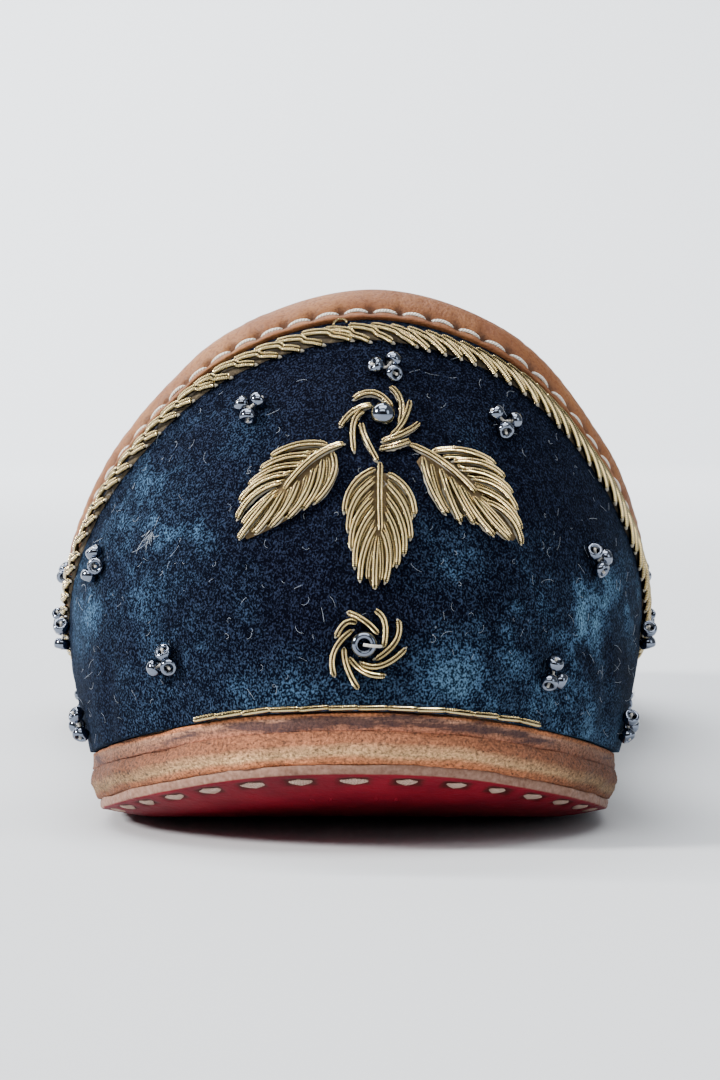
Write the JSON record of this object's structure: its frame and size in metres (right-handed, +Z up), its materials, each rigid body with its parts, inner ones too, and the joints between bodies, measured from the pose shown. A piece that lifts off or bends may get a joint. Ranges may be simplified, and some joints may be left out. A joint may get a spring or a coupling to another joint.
{
  "type": "mojari shoe",
  "caption": "Low slip-on mojari shoe: hollow velvet upper with leather binding and gold embroidery on a thin layered leather sole with sprung ends.",
  "frame": {"origin": "middle of the whole shoe's box, on the floor", "axes": "+Y from the heel to the toe, +Z up, +X to the right as seen from behind"},
  "size_m": [0.0844, 0.2528, 0.0586],
  "materials": {
    "red_leather": "red dyed, smooth, scuffed at the edge",
    "sole_leather": "cut edge of vegetable-tanned leather, fuzzy brown over cream",
    "rand_leather": "thin orange-tan layer with dark stains",
    "lining_leather": "undyed tan lining leather",
    "velvet": "deep blue-green crushed velvet",
    "binding_leather": "smooth tan leather roll with cream stitches",
    "gold_wire": "fine coiled gold-coloured embroidery wire",
    "steel_bead": "steel-grey lustre glass beads",
    "thread": "cream stitching thread"
  },
  "bodies": {
    "root": {"outsole": "red_leather", "midsole": "sole_leather", "rand": "rand_leather", "insole": "lining_leather", "upper": "velvet", "collar_binding": "binding_leather", "topline_braid": "gold_wire", "heel_base_wire": "gold_wire", "heel_flower_upper": "gold_wire", "heel_flower_lower": "gold_wire", "heel_leaf_left": "gold_wire", "heel_leaf_centre": "gold_wire", "heel_leaf_right": "gold_wire", "vamp_flower_upper": "gold_wire", "vamp_flower_lower": "gold_wire", "vamp_leaf_left": "gold_wire", "vamp_leaf_centre": "gold_wire", "vamp_leaf_right": "gold_wire"}
  },
  "joints": []
}
